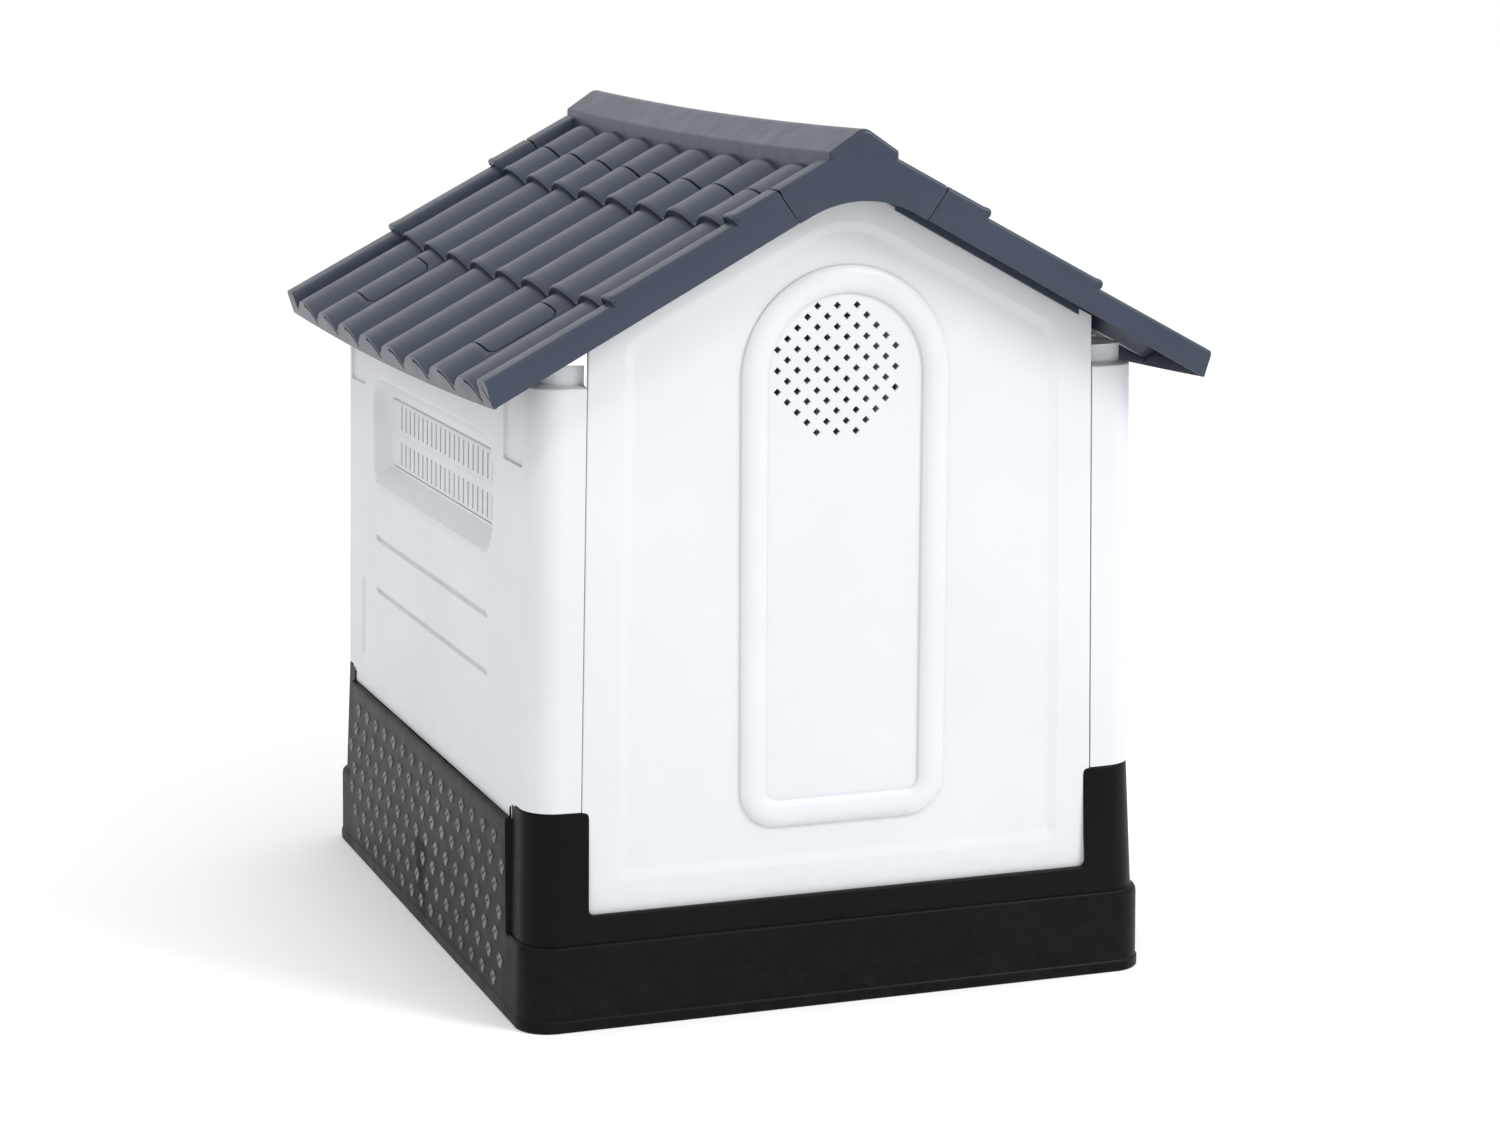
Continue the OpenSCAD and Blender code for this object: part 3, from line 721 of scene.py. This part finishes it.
def latch_shape():
    """The rear latch of the right panel: a curved plate with two legs under it."""
    outline = latch_outline(1, LATCH_GAP)
    lines = [[(y, LATCH_S - LATCH_L), (y, LATCH_S + LATCH_L)] for y in Y if abs(y - LATCH_Y) < LATCH_W / 2]
    lines += [[(LATCH_Y - LATCH_W, s), (LATCH_Y + LATCH_W, s)] for s in (LATCH_S - 20, LATCH_S, LATCH_S + 20)]
    relief = Relief(outline(0), lines=lines)
    relief.feature(outline, [(-1.0, 0), (-0.35, -0.2), (0, -0.7)])
    shape = Shape()
    shape.slab(relief, lower_row_surface, SKIN)
    for side in (-1, 1):
        end = LATCH_S + side * LATCH_L / 2
        lip = rectangle(LATCH_Y - 26, end - 4, LATCH_Y + 26, end + 4, 2)
        shape.slab(Relief(lip(0), lines=lines), lambda y, s, h: lower_row_surface(y, s, h - SKIN - 0.7), 1.0)
    for side in (-1, 1):
        y = LATCH_Y + 12 * side
        s = LATCH_S - LATCH_L / 2 + 22
        deep = -2 * ROW_N + VALLEY_N - SKIN
        rings = [[tuple(on_slope(s + ds, m, y + dy)) for ds, dy in
                  ((0, -w), (SKIN, -w), (SKIN, w), (0, w))]
                 for m, w in ((deep + 9, 6), (deep - 4, 6), (deep - 17, 5.6), (deep - 20, 4.2))]
        shape.loft(rings)
    return shape


# ---------------------------------------------------------------- walls

def leaned(points):
    """Leans the right wall inwards about its line at the top of the posts."""
    points = np.array(points, float)
    x, z = points[..., 0] - WALL_HALF, points[..., 2] - POST_H
    points[..., 0] = WALL_HALF + x * math.cos(LEAN) - z * math.sin(LEAN)
    points[..., 2] = POST_H + x * math.sin(LEAN) + z * math.cos(LEAN)
    return points


FLAT = END_FACE - CORNER_R
BEND = CORNER_R * math.pi / 2
SIDE_U = FLAT + BEND + (WALL_HALF - CORNER_R - SEAM_HALF) - 0.3


def on_side(u, z, h):
    """Point on the right wall, u along its face and round its corners."""
    over = np.abs(u) - FLAT
    a = np.clip(over, 0, BEND) / CORNER_R
    past = np.maximum(over - BEND, 0)
    x = WALL_HALF - CORNER_R + (CORNER_R + h) * np.cos(a) - past
    y = np.sign(u) * (np.minimum(np.abs(u), FLAT) + (CORNER_R + h) * np.sin(a))
    return leaned(np.stack([x, y, z + 0 * x], -1))


def mirrored_pairs(boxes):
    """Each box, and the same box across u = 0."""
    return [(x0, z0, x1, z1) for x0, z0, x1, z1 in boxes] + [(-x1, z0, -x0, z1) for x0, z0, x1, z1 in boxes]


WINDOW_Y, WINDOW_LOW, WINDOW_HIGH = 187.0, 338.0, 431.0
GRILLE_Y, GRILLE_LOW, GRILLE_HIGH = 169.0, 356.0, 414.0
WINDOW_DEPTH = 12.0
SILL_UP = 2.6


def window_rule(p):
    """Deep cove over the window, and a band that slopes out to the sill below it."""
    d = distance(WINDOW(0), p)
    cove = np.interp(d, COVE_D, COVE_N)
    share = np.clip((GRILLE_LOW - 2 - p[:, 1]) / (GRILLE_LOW - 2 - WINDOW_LOW - 3), 0, 1)
    slope = -WINDOW_DEPTH + (WINDOW_DEPTH + SILL_UP) * share
    sill = slope * np.clip(-d / 2.0, 0, 1) * (d < 0)
    low = p[:, 1] < GRILLE_LOW - 2
    return np.where(low, np.maximum(cove, sill), cove)


COVE_D = [-17, -15, -12.5, -9.5, -6.5, -4, -2, -0.8, 0, 1.2]
COVE_N = [-WINDOW_DEPTH, -11.9, -11.2, -9.4, -6.7, -3.9, -1.5, -0.45, -0.1, 0]
WINDOW = rectangle(-WINDOW_Y, WINDOW_LOW, WINDOW_Y, WINDOW_HIGH, 27)
GRILLE = rectangle(-GRILLE_Y, GRILLE_LOW, GRILLE_Y, GRILLE_HIGH, 12)


def side_wall():
    top = SIDE_TOP - 0.5
    rim, post = SIDE_RIM_H + 0.3, POST_H + 0.9
    outline = [(-POST_RUN, rim), (POST_RUN, rim), (POST_RUN, post), (SIDE_U, post)]
    outline += [(u, top - float(sag(WALL_HALF, np.clip(u, -END_FACE, END_FACE)))) for u in np.linspace(SIDE_U, -SIDE_U, 41)]
    outline += [(-SIDE_U, post), (-POST_RUN, post)]
    bends = [side * (FLAT + BEND * k / 9) for side in (-1, 1) for k in range(10)]
    lines = [[(u, post - 20), (u, top + 20)] for u in bends]
    relief = Relief(outline, [GRILLE(0)], lines)
    for x0, z0, x1, z1 in mirrored_pairs([(FLAT_HALF, LEDGE_Z, SIDE_U + 30, top + 30)]):
        relief.feature(rectangle(x0, z0, x1, z1, 5), [(-3.2, -NECK_IN), (-2.2, -7.4), (-1.0, -2.0), (-0.3, -0.5), (0.5, 0)])
    for x0, z0, x1, z1 in mirrored_pairs([(FLAT_HALF, POCKET_Z, FLAT - 2, LEDGE_Z + 1)]):
        relief.feature(rectangle(x0, z0, x1, z1, 4), [(-3.0, -2.0), (-1.2, -1.7), (0, 0)])
    relief.rule(window_rule, [[(-WINDOW_Y, z), (WINDOW_Y, z)] for z in (GRILLE_LOW - 2, 348, WINDOW_LOW + 3)],
                [WINDOW(d) for d in COVE_D])
    for z in (292, 247):
        relief.feature(thick_line([(-173, z), (173, z)], 2.1), [(-1.9, -3.0), (-0.9, -2.6), (0.5, 0)])
    relief.rule(lambda p: np.interp(p[:, 1], [186, 187.6, 190.4, 192, 260], [0, -4.2, -4.2, -2.2, 0])
                * np.interp(np.abs(p[:, 0]), [196, 208], [1, 0]),
                [[(-208, z), (208, z)] for z in (186, 187.6, 190.4, 192, 210, 235, 260)])
    relief.feature(rectangle(-226, 179, -214, 249, 5.9), [(-4.0, -2.6), (-2.4, -2.2), (0, -0.4), (1.2, 0)])
    shape = Shape()
    shape.slab(relief, on_side, SKIN)
    return shape


def slots():
    """Slot outlines, in two rows."""
    made = []
    for z0, z1 in ((360, 379.5), (390, 410.5)):
        for i in range(21):
            y = 9 + (i - 10) * 14
            made.append(rectangle(y - 2.0, z0, y + 2.0, z1, 1.2, 30))
    return made


def window_grille():
    outline = rectangle(-GRILLE_Y + 0.5, GRILLE_LOW + 0.5, GRILLE_Y - 0.5, GRILLE_HIGH - 0.5, 11.5)
    openings = slots()
    relief = Relief(outline(0), [slot(0) for slot in openings])
    relief.feature(outline, [(-3.5, 0), (-1.5, -0.25), (-0.5, -0.8), (0, -1.6)])
    relief.loops += [slot(0.5) for slot in openings]
    relief.rules.append(lambda p: sum(np.interp(distance(slot(0.5), p), [-0.45, 0], [-0.35, 0])
                                      for slot in openings))
    rib = rectangle(-GRILLE_Y + 8, 382.4, GRILLE_Y - 8, 387.2, 2)
    relief.feature(rib, [(-1.2, 0.5), (0, 0)])
    shape = Shape()
    shape.slab(relief, lambda y, z, h: on_side(y, z, h - WINDOW_DEPTH + 1.2), 3.0)
    flange = Relief(rectangle(-GRILLE_Y - 6, GRILLE_LOW - 6, GRILLE_Y + 6, GRILLE_HIGH + 6, 14)(0),
                    [rectangle(-GRILLE_Y + 6, GRILLE_LOW + 3, GRILLE_Y - 6, GRILLE_HIGH - 3, 8)(0)])
    shape.slab(flange, lambda y, z, h: on_side(y, z, h - WINDOW_DEPTH - SKIN - 0.2), 2.0)
    return shape


def gable_corners(side_in, top_in, low):
    """Corners of an end wall's outline, anticlockwise, moved in by side_in and down by top_in."""
    peak = GABLE_PEAK - top_in
    at_post = SEAM_HALF - side_in
    lean = math.tan(LEAN)
    top_half = (at_post - (peak - POST_H) * lean) / (1 - TAN * lean)
    low_half = at_post - (low - POST_H) * lean
    return [(-low_half, low), (low_half, low), (top_half, peak - top_half * TAN), (0, peak),
            (-top_half, peak - top_half * TAN)]


def end_wall(features, holes=(), top_loops=()):
    """An end wall facing +Y: raised border, sunk field, and what features adds."""
    outline = gable_corners(0.4, 0.5, NOTCH_Z - 22)
    relief = Relief(outline, holes)
    edge = convex(gable_corners(0.4, 0.5, NOTCH_Z - 22), 0)
    relief.feature(edge, [(-1.2, 0), (-0.4, -0.25), (0, -0.9)])
    field = convex(gable_corners(32, 26, NOTCH_Z + 27), [4, 4, 14, 60, 14], 4)
    relief.feature(field, [(-5, -BORDER_UP), (-2.5, -1.6), (2.5, -0.4), (5, 0)])
    features(relief)
    shape = Shape()
    shape.slab(relief, lambda x, z, h: np.stack([x, END_FACE + h, z + 0 * x], -1), SKIN)
    return shape


def half_round(half, height, steps=8):
    """Profile of a half-round bead centred on an outline."""
    return [(half * d, height * math.sqrt(max(1 - d * d, 0))) for d in np.sin(np.radians(np.linspace(-90, 90, steps + 1)))]


def vent_squares():
    """Square holes in staggered columns, set on their corners."""
    made = []
    counts = [3, 4, 5, 6, 7, 6, 7, 6, 7, 6, 5, 4, 3]
    r = 3.05
    for c, count in enumerate(counts):
        for k in range(count):
            x = 7 + (c - 6) * 7.8
            z = 484 + (k - (count - 1) / 2) * 15.6
            made.append([(x - r, z), (x, z - r), (x + r, z), (x, z + r)])
    return made


def rear_wall():
    bead = arch(72, 149.5, 550.5, 19)

    def features(relief):
        relief.feature(bead, [(-13, 0.0)] + half_round(10.8, 5.2) + [(13, 0.0)])
    return end_wall(features, vent_squares())


def front_wall():
    door = arch(120, 112, 452, 14)

    def features(relief):
        relief.feature(door, [(0, 0.4), (0.8, 2.0), (3, 3.0), (12, 3.0), (15.5, 2.2), (18, 0)])
    return end_wall(features, [door(0)]).mirrored(1)


# ---------------------------------------------------------------- base

BAND_X, BAND_Y = BASE_HALF_W - BASE_R, BASE_HALF_L - BASE_R
BASE_BEND = BASE_R * math.pi / 2
# Inset of the outline by height: rim, band, rounded ledge, then the posts
BASE_Z = [0, 1.2, 8.0, 9.2, 60, 63, 64.6, 65.2, 65.6, 67.5, POST_H]
BASE_IN = [0.8, 0, 0.05, 0.9, 1.5, 1.8, 2.7, 3.7, 4.8, 5.0, 8.0]
POST_IN_END = 11.5


def post_inset(z):
    """Inset across and along at a height."""
    across = np.interp(z, BASE_Z, BASE_IN)
    along = np.interp(z, BASE_Z, BASE_IN[:-1] + [POST_IN_END])
    return across, along


def walk():
    """Stretches of the base's outline from the middle of the right side: (start, length, kind)."""
    stretches, at = [], 0.0
    for kind, length in (("right_1", BAND_Y), ("c1", BASE_BEND), ("rear", 2 * BAND_X), ("c2", BASE_BEND),
                         ("left", 2 * BAND_Y), ("c3", BASE_BEND), ("front", 2 * BAND_X), ("c4", BASE_BEND),
                         ("right_2", BAND_Y)):
        stretches.append((at, length, kind))
        at += length
    return stretches, at


STRETCHES, ROUND = walk()
START = {kind: at for at, _, kind in STRETCHES}
PANEL_Y = POST_RUN


def panel_share(u):
    """1 on the patterned side panels, 0 on the posts, at a place along the outline."""
    left_mid = START["left"] + BAND_Y
    off = np.minimum(np.minimum(np.abs(u), np.abs(u - ROUND)), np.abs(u - left_mid))
    return np.interp(off, [PANEL_Y - 0.8, PANEL_Y + 0.6], [1, 0])


def on_base(u, z, h):
    u = np.clip(u, 0, ROUND)
    across, along = post_inset(z)
    flush = np.interp(z, [0, 1.2, 8.0, 9.2, 65, SIDE_RIM_H], [0.8, 0, 0.05, 0.9, 1.5, 3.2])
    h = h + panel_share(u) * (across - flush)
    cx, cy = BAND_X - across, BAND_Y - along
    x, y = np.zeros_like(u), np.zeros_like(u)
    for at, length, kind in STRETCHES:
        mask = (u >= at - 0.001) & (u <= at + length + 0.001)
        t = np.clip((u - at) / length, 0, 1)
        r = BASE_R + h
        if kind in ("right_1", "right_2"):
            px, py = cx + r, (t if kind == "right_1" else t - 1) * cy
        elif kind == "left":
            px, py = -cx - r, (1 - 2 * t) * cy
        elif kind == "rear":
            px, py = (1 - 2 * t) * cx, cy + r
        elif kind == "front":
            px, py = (2 * t - 1) * cx, -cy - r
        else:
            quarter = int(kind[1]) - 1
            a = (quarter + t) * math.pi / 2
            sx = 1 if quarter in (0, 3) else -1
            sy = 1 if quarter in (0, 1) else -1
            px, py = sx * cx + r * np.cos(a), sy * cy + r * np.sin(a)
        x, y = np.where(mask, px, x), np.where(mask, py, y)
    return np.stack([x, y, z + 0 * x], -1)


def base_skirt():
    """The wall of the base, unrolled: posts, side rims and end notches."""
    notch = SEAM_HALF + 1.2
    rear = START["rear"] + BAND_X
    front = START["front"] + BAND_X
    left = START["left"] + BAND_Y
    top = [(ROUND, SIDE_RIM_H), (ROUND - PANEL_Y, SIDE_RIM_H), (ROUND - PANEL_Y, POST_H)]
    top += [(front + notch, POST_H), (front + notch, NOTCH_Z), (front - notch, NOTCH_Z), (front - notch, POST_H)]
    top += [(left + PANEL_Y, POST_H), (left + PANEL_Y, SIDE_RIM_H), (left - PANEL_Y, SIDE_RIM_H), (left - PANEL_Y, POST_H)]
    top += [(rear + notch, POST_H), (rear + notch, NOTCH_Z), (rear - notch, NOTCH_Z), (rear - notch, POST_H)]
    top += [(PANEL_Y, POST_H), (PANEL_Y, SIDE_RIM_H), (0, SIDE_RIM_H)]
    radii = [0, 1.5, 4] + [4, 5, 5, 4] + [4, 1.5, 1.5, 4] + [4, 5, 5, 4] + [4, 1.5, 0]
    outline = fillet([(0, 0), (ROUND, 0)] + top, [0, 0] + radii, 18)
    lines = [[(0, z), (ROUND, z)] for z in BASE_Z[1:-1]]
    for at, length, kind in STRETCHES:
        if kind[0] == "c":
            lines += [[(at + length * k / 10, -5), (at + length * k / 10, POST_H + 5)] for k in range(11)]
    for middle in (0, left, ROUND):
        for side in (-1, 1):
            for d in (-0.8, 0.6, 1.0, 2.2, 3.4):
                u = middle + side * (PANEL_Y + d)
                if 0 < u < ROUND:
                    lines.append([(u, -5), (u, POST_H + 5)])
    relief = Relief(outline, (), lines)

    def groove(p):
        off = np.min([np.abs(np.abs(p[:, 0] - m) - PANEL_Y - 2.2) for m in (0, left, ROUND)], 0)
        depth = np.interp(off, [0, 1.2], [-1.6, 0])
        return depth * np.interp(p[:, 1], [66, 69], [0, 1])
    relief.rule(groove)

    def rounded_top(p):
        d = distance(outline, p)
        inner = (p[:, 0] > 1) & (p[:, 0] < ROUND - 1) & (p[:, 1] > 20)
        return np.where(inner, np.interp(d, [-1.3, -0.5, 0], [0, -0.25, -0.9]), 0)
    offset = [tuple(p) for p in shrink(outline, 1.3) if 0 < p[0] < ROUND and p[1] > 20]
    relief.rule(rounded_top, [offset])
    shape = Shape()
    shape.slab(relief, on_base, BASE_SKIN)
    return shape


def shrink(loop, by):
    """Points of an anticlockwise outline moved inward, each along its own corner's middle."""
    loop = np.array(loop)
    before = loop - np.roll(loop, 1, 0)
    after = np.roll(loop, -1, 0) - loop
    before /= np.maximum(np.linalg.norm(before, axis=1), 1e-9)[:, None]
    after /= np.maximum(np.linalg.norm(after, axis=1), 1e-9)[:, None]
    n1 = np.stack([-before[:, 1], before[:, 0]], 1)
    n2 = np.stack([-after[:, 1], after[:, 0]], 1)
    return loop + by * (n1 + n2) / (1 + (n1 * n2).sum(1))[:, None]


def base_floor():
    """Floor plate with a shallow dished middle and round edge."""
    half_w, half_l = BASE_HALF_W - BASE_SKIN - 4.5, BASE_HALF_L - BASE_SKIN - 4.5
    edge = rectangle(-half_w, -half_l, half_w, half_l, BASE_R - BASE_SKIN)
    relief = Relief(edge(0))
    relief.feature(edge, [(-30, 0), (-24, 0.9), (-8, 0.9), (0, 0.9)])
    for y in np.linspace(-180, 180, 7):
        relief.feature(thick_line([(-170, y), (170, y)], 3), [(-2.8, 0.9), (-1.2, 0.7), (0.4, 0)])
    shape = Shape()
    shape.slab(relief, lambda x, y, h: np.stack([x, y, FLOOR_Z - 1 + h], -1), BASE_SKIN)
    return shape


def base_ribs():
    shape = Shape()
    low, high, w = 2.0, FLOOR_Z - BASE_SKIN, 1.5

    def rib(x0, y0, x1, y1):
        along = Vector((x1 - x0, y1 - y0, 0)).normalized()
        side = Vector((-along.y, along.x, 0))
        rings = []
        for z, half in ((low, w * 0.55), (low + 1, w * 0.8), (high, w)):
            rings.append([tuple(Vector((x, y, z)) + side * half * s) for x, y, s in
                          ((x0, y0, -1), (x1, y1, -1), (x1, y1, 1), (x0, y0, 1))])
        shape.loft(rings)
    for k in (-1, 1):
        rib(-BASE_HALF_W + 4, k * BASE_HALF_L / 3, BASE_HALF_W - 4, k * BASE_HALF_L / 3)
    rib(0, -BASE_HALF_L + 4, 0, BASE_HALF_L - 4)
    return shape


# Paw print: (across, up, half width, half height) of the pad and its four toes
PAW = [(0, -2.2, 3.5, 3.1), (-4.6, 1.2, 1.5, 2.2), (-1.8, 3.9, 1.5, 2.4), (1.8, 3.9, 1.5, 2.4), (4.6, 1.2, 1.5, 2.2)]
PAW_PITCH, PAW_ROW = 31.0, 18.5


def paw_prints():
    """Low domes of the paw pattern on the right panel."""
    shape = Shape()
    turns = np.linspace(0, 2 * math.pi, 13)[:-1]
    rows = 7
    for row in range(rows):
        z = 20 + row * PAW_ROW
        for k in range(-8, 9):
            y = (k + 0.5 * (row % 2)) * PAW_PITCH + 3 * (row % 3)
            if abs(y) > PANEL_Y - 9:
                continue
            for across, up, w, h in PAW:
                rings = []
                for share, lift in ((1.0, -0.25), (0.96, 0.25), (0.7, 0.62), (0.3, 0.75)):
                    cy = y + across + w * share * np.cos(turns)
                    cz = z + up + h * share * np.sin(turns)
                    rings.append(on_base_exact(cy, cz, lift))
                shape.grid(rings, closed=True)
                shape.add(rings[-1], [tuple(range(12))])
                shape.add(rings[0], [tuple(range(12))[::-1]])
    return shape


def on_base_exact(y, z, lift):
    """Point on the right side panel at a height over its face."""
    flush = np.interp(z, [9.2, 65, SIDE_RIM_H], [0.9, 1.5, 3.2])
    return np.stack([BASE_HALF_W - flush + lift, y, z], -1)


# ---------------------------------------------------------------- object

def build_roof():
    panel = roof_panel()
    for name, turn in (("right", None), ("left", 0)):
        def sided(shape):
            return shape if turn is None else shape.mirrored(turn)
        piece(f"{name}_roof_shell", sided(panel), "roof", SLATE, [f"{name}_roof_panel"], SKIN, weld=0.05)
        piece(f"{name}_roof_skirts", sided(skirts()), "roof", SLATE)
        piece(f"{name}_ridge_flange", sided(ridge_flange()), "roof", SLATE)
    piece("ridge_cap_shell", ridge_cap(), "ridge", SLATE, ["ridge_cap"], SKIN, weld=0.05)
    rear = latch_shape()
    for node, shape in (("right_rear_latch", rear), ("right_front_latch", rear.mirrored(1)),
                        ("left_rear_latch", rear.mirrored(0)), ("left_front_latch", rear.mirrored(0).mirrored(1))):
        piece(f"{node}_tab", shape, node, SLATE, [node])


def build_walls():
    wall, grille = side_wall(), window_grille()
    for name, turn in (("right", None), ("left", 0)):
        for kind, shape in (("wall", wall), ("window_grille", grille)):
            sided = shape if turn is None else shape.mirrored(turn)
            piece(f"{name}_{kind}_shell", sided, "kennel", WHITE, [f"{name}_{kind}"])
    piece("rear_wall_shell", rear_wall(), "kennel", WHITE, ["rear_wall"])
    piece("front_wall_shell", front_wall(), "kennel", WHITE, ["front_wall"])


def build_base():
    piece("base_skirt", base_skirt(), "kennel", BLACK, ["base_tray"])
    piece("base_floor", base_floor(), "kennel", BLACK)
    piece("base_ribs", base_ribs(), "kennel", BLACK)
    paws = paw_prints()
    piece("right_paw_pattern", paws, "kennel", BLACK, material="paw")
    piece("left_paw_pattern", paws.mirrored(0), "kennel", BLACK, material="paw")


# ---------------------------------------------------------------- studio

def make_camera():
    yaw, pitch, roll = (math.radians(a) for a in (20.13, 10.67, -0.23))
    right = Vector((-math.cos(yaw), math.sin(yaw), 0))
    back = Vector((math.sin(yaw), math.cos(yaw), 0))
    up = Vector((0, 0, 1))
    up, back = up * math.cos(pitch) - back * math.sin(pitch), up * math.sin(pitch) + back * math.cos(pitch)
    right, up = right * math.cos(roll) - up * math.sin(roll), right * math.sin(roll) + up * math.cos(roll)
    data = bpy.data.cameras.new("camera")
    data.sensor_width = 36
    data.lens = 79.286
    data.clip_end = 200
    camera = bpy.data.objects.new("camera", data)
    bpy.context.scene.collection.objects.link(camera)
    turn = Matrix((right, up, back)).transposed().to_4x4()
    camera.matrix_world = Matrix.Translation((0.8997, 2.5407, 0.7943)) @ turn
    bpy.context.scene.camera = camera


def make_floor():
    mesh = bpy.data.meshes.new("floor")
    half = 60
    mesh.from_pydata([(-half, -half, 0), (half, -half, 0), (half, half, 0), (-half, half, 0)], [], [(0, 1, 2, 3)])
    floor = bpy.data.objects.new("floor", mesh)
    bpy.context.scene.collection.objects.link(floor)
    material, tree, shader, where = node_tree("floor_paper", 0.9, 0.1)
    shader.inputs["Base Color"].default_value = (0.95, 0.95, 0.95, 1)
    mesh.materials.append(material)


def area_light(name, place, target, size, power):
    data = bpy.data.lights.new(name, "AREA")
    data.shape = "DISK"
    data.size = size
    data.energy = power
    lamp = bpy.data.objects.new(name, data)
    lamp.location = place
    lamp.rotation_mode = "QUATERNION"
    lamp.rotation_quaternion = (Vector(target) - Vector(place)).to_track_quat("-Z", "Y")
    bpy.context.scene.collection.objects.link(lamp)


def make_light():
    world = bpy.data.worlds.new("studio")
    world.use_nodes = True
    background = world.node_tree.nodes["Background"]
    background.inputs["Color"].default_value = (1, 1, 1, 1)
    background.inputs["Strength"].default_value = 1.07
    bpy.context.scene.world = world
    area_light("key", (-2.2, 2.6, 2.8), (0, 0, 0.35), 1.6, 92)
    area_light("side", (1.6, 2.3, 3.2), (0, 0, 0.35), 0.5, 20)
    bpy.context.scene.view_settings.view_transform = "Standard"


MATERIALS = make_materials()
make_camera()
make_floor()
make_light()
build_base()
build_walls()
build_roof()
